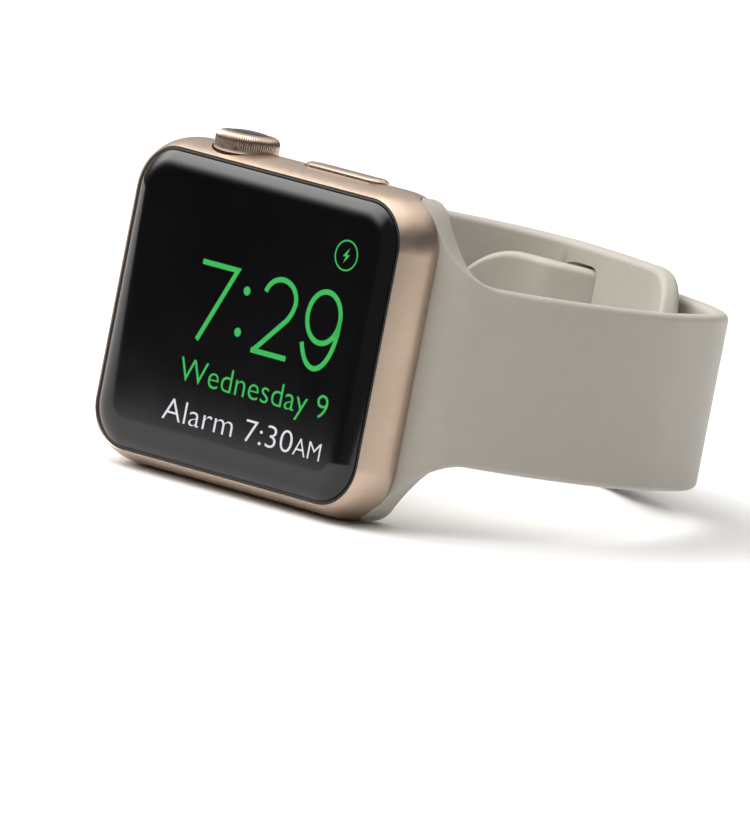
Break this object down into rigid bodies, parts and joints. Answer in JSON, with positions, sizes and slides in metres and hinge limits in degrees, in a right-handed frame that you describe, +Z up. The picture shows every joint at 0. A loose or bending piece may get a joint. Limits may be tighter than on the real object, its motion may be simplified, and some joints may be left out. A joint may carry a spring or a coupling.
{
  "type": "smartwatch",
  "caption": "Smartwatch with a rounded rectangular metal case, cover glass, turning crown, side button and a closed pin-and-tuck elastomer band, lying on its side.",
  "frame": {"origin": "centre of the bounding box's footprint, on the surface the watch lies on", "axes": "+X towards the six o'clock end of the case, -Y the way the display faces (tipped up by the rest tilt), +Z up, with the crown on top"},
  "size_m": [0.0652, 0.0624, 0.0384],
  "materials": {
    "gold_aluminium": "satin anodised",
    "strap_elastomer": "matte moulded elastomer",
    "steel": "brushed",
    "black_seal": "matte",
    "dark_resin": "moulded",
    "black_glass": "polished",
    "display_panel": "glossy",
    "copper_flex": "satin",
    "orange_flex": "satin",
    "board_green": "solder mask",
    "battery_wrap": "foil wrap",
    "sensor_glass": "polished",
    "back_ceramic": "polished",
    "coil_copper": "enamelled wire",
    "crown_cap_black": "polished"
  },
  "bodies": {
    "case": {"alignment_magnet": "steel", "antenna_bracket": "dark_resin", "back_cover": "gold_aluminium", "back_crystal": "back_ceramic", "back_gasket": "black_seal", "battery": "battery_wrap", "board_screw_1": "steel", "board_screw_2": "steel", "board_screw_3": "steel", "button_bracket": "steel", "button_switch": "dark_resin", "case_body": "gold_aluminium", "charging_coil": "coil_copper", "cover_glass": "black_glass", "crown_bush": "steel", "crown_encoder": "dark_resin", "crown_seal": "black_seal", "crown_switch": "dark_resin", "display_flex": "orange_flex", "display_panel": "display_panel", "glass_gasket": "black_seal", "inner_plate": "steel", "light_emitter_1": "dark_resin", "light_emitter_2": "dark_resin", "main_board": "board_green", "microphone": "steel", "photodiode_1": "dark_resin", "photodiode_2": "dark_resin", "pressure_sensor_frame": "copper_flex", "sensor_board": "board_green", "sensor_window_1": "sensor_glass", "sensor_window_2": "sensor_glass", "sensor_window_3": "sensor_glass", "sensor_window_4": "sensor_glass", "speaker": "dark_resin", "speaker_mesh": "dark_resin", "stem_seal": "black_seal", "vibration_motor": "steel"},
    "crown_carrier": {"crown_thrust_plate": "steel"},
    "crown": {"crown_knob": "gold_aluminium", "crown_cap": "crown_cap_black", "crown_shaft": "steel", "encoder_wheel": "dark_resin"},
    "side_button": {"side_button": "gold_aluminium", "button_stem": "steel"},
    "release_12": {"release_button_12": "gold_aluminium"},
    "release_6": {"release_button_6": "gold_aluminium"},
    "latch_12": {"lug_latch_12": "steel"},
    "latch_6": {"lug_latch_6": "steel"},
    "strap_short": {"strap_short": "strap_elastomer", "closure_stud": "gold_aluminium", "latch_spring_12": "steel", "lug_insert_12": "steel"},
    "strap_long": {"strap_long": "strap_elastomer", "latch_spring_6": "steel", "lug_insert_6": "steel"}
  },
  "joints": [
    {"name": "crown_press", "type": "slide", "parent": "case", "child": "crown_carrier", "axis": [0, -0.1078, -0.9942], "range_m": [0, 0.0003], "stiffness_N_per_m": 1000},
    {"name": "crown_spin", "type": "hinge", "parent": "crown_carrier", "child": "crown", "pos_m": [-0.00893, -0.02261, 0.03627], "axis": [0, 0.1078, 0.9942], "continuous": true},
    {"name": "side_button_press", "type": "slide", "parent": "case", "child": "side_button", "axis": [0, -0.1078, -0.9942], "range_m": [0, 0.00025], "stiffness_N_per_m": 1000},
    {"name": "release_12_press", "type": "slide", "parent": "case", "child": "release_12", "axis": [0, -0.9942, 0.1078], "range_m": [0, 0.00035], "stiffness_N_per_m": 500},
    {"name": "release_6_press", "type": "slide", "parent": "case", "child": "release_6", "axis": [0, -0.9942, 0.1078], "range_m": [0, 0.00035], "stiffness_N_per_m": 500},
    {"name": "strap_short_slide", "type": "slide", "parent": "case", "child": "strap_short", "axis": [0, 0.1078, 0.9942], "range_m": [-0.038, 0.038]},
    {"name": "strap_long_slide", "type": "slide", "parent": "case", "child": "strap_long", "axis": [0, 0.1078, 0.9942], "range_m": [-0.038, 0.038]},
    {"name": "latch_12_retract", "type": "slide", "parent": "strap_short", "child": "latch_12", "axis": [0, -0.9942, 0.1078], "range_m": [0, 0.00035], "stiffness_N_per_m": 100},
    {"name": "latch_6_retract", "type": "slide", "parent": "strap_long", "child": "latch_6", "axis": [0, -0.9942, 0.1078], "range_m": [0, 0.00035], "stiffness_N_per_m": 100}
  ],
  "couplings": [
    {"joint": "strap_long_slide", "follows": "strap_short_slide", "ratio": 1},
    {"joint": "latch_12_retract", "follows": "release_12_press", "ratio": 1},
    {"joint": "latch_6_retract", "follows": "release_6_press", "ratio": 1}
  ]
}
